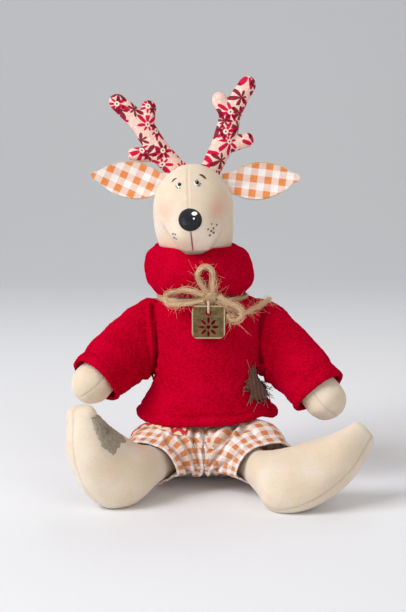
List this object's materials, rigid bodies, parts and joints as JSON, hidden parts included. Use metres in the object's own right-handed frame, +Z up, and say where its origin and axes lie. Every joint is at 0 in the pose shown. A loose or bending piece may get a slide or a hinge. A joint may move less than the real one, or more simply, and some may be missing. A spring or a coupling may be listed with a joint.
{
  "type": "plush reindeer",
  "caption": "Seated stuffed cloth reindeer in a roll-neck fleece sweater and checked shorts, with turning head, swinging arms and legs, and a small metal tag on a twine bow.",
  "frame": {"origin": "in the flat seat face under the shorts, on the surface that the doll sits on", "axes": "+Z up, -Y the way the doll faces, +X to the right of a viewer in front of it"},
  "size_m": [0.1891, 0.1239, 0.2608],
  "materials": {
    "calico": "plain cream cotton",
    "fleece": "brushed red fleece",
    "gingham": "orange and white checked cotton",
    "print_cloth": "cream cotton printed in red",
    "jute": "loose natural twine",
    "aged_brass": "aged, with a rubbed rim",
    "brown_knit": "ribbed knit with frayed edge",
    "grey_felt": "soft grey felt",
    "cream_tape": "woven cotton tape"
  },
  "bodies": {
    "torso": {"stuffed_body": "calico", "sweater_body": "fleece", "sweater_collar": "fleece", "sweater_patch": "brown_knit", "shorts_seat": "gingham", "neck_twine": "jute", "twine_knot": "jute", "bow_upper_loop": "jute", "bow_west_loop": "jute", "bow_long_tail": "jute", "bow_short_tail": "jute"},
    "head": {"head": "calico", "antler_west": "print_cloth", "antler_east": "print_cloth", "ear_back_west": "calico", "ear_back_east": "calico", "ear_lining_west": "gingham", "ear_lining_east": "gingham"},
    "arm_west": {"arm_west": "calico", "sleeve_west": "fleece"},
    "arm_east": {"arm_east": "calico", "sleeve_east": "fleece"},
    "leg_west": {"leg_west": "calico", "shorts_leg_west": "gingham", "foot_patch": "grey_felt", "shorts_tape": "cream_tape"},
    "leg_east": {"leg_east": "calico", "shorts_leg_east": "gingham"},
    "tag": {"tag_plate": "aged_brass"}
  },
  "joints": [
    {"name": "head_turn", "type": "hinge", "parent": "torso", "child": "head", "pos_m": [-0.005, 0.001, 0.1236], "axis": [0, 0, 1], "range_deg": [-20, 20]},
    {"name": "shoulder_west", "type": "hinge", "parent": "torso", "child": "arm_west", "pos_m": [-0.0324, 0, 0.095], "axis": [-1, 0, 0], "range_deg": [-40, 80]},
    {"name": "shoulder_east", "type": "hinge", "parent": "torso", "child": "arm_east", "pos_m": [0.0364, 0, 0.095], "axis": [-1, 0, 0], "range_deg": [-40, 80]},
    {"name": "hip_west", "type": "hinge", "parent": "torso", "child": "leg_west", "pos_m": [-0.02191, -0.02341, 0.0195], "axis": [-0.9962, 0.0872, 0], "range_deg": [-65, 0]},
    {"name": "hip_east", "type": "hinge", "parent": "torso", "child": "leg_east", "pos_m": [0.02591, -0.02759, 0.0195], "axis": [-0.9962, 0.0872, 0], "range_deg": [-65, 0]},
    {"name": "tag_swing", "type": "hinge", "parent": "torso", "child": "tag", "pos_m": [0.0034, -0.0372, 0.1182], "axis": [-1, 0, 0], "range_deg": [0, 65]}
  ]
}
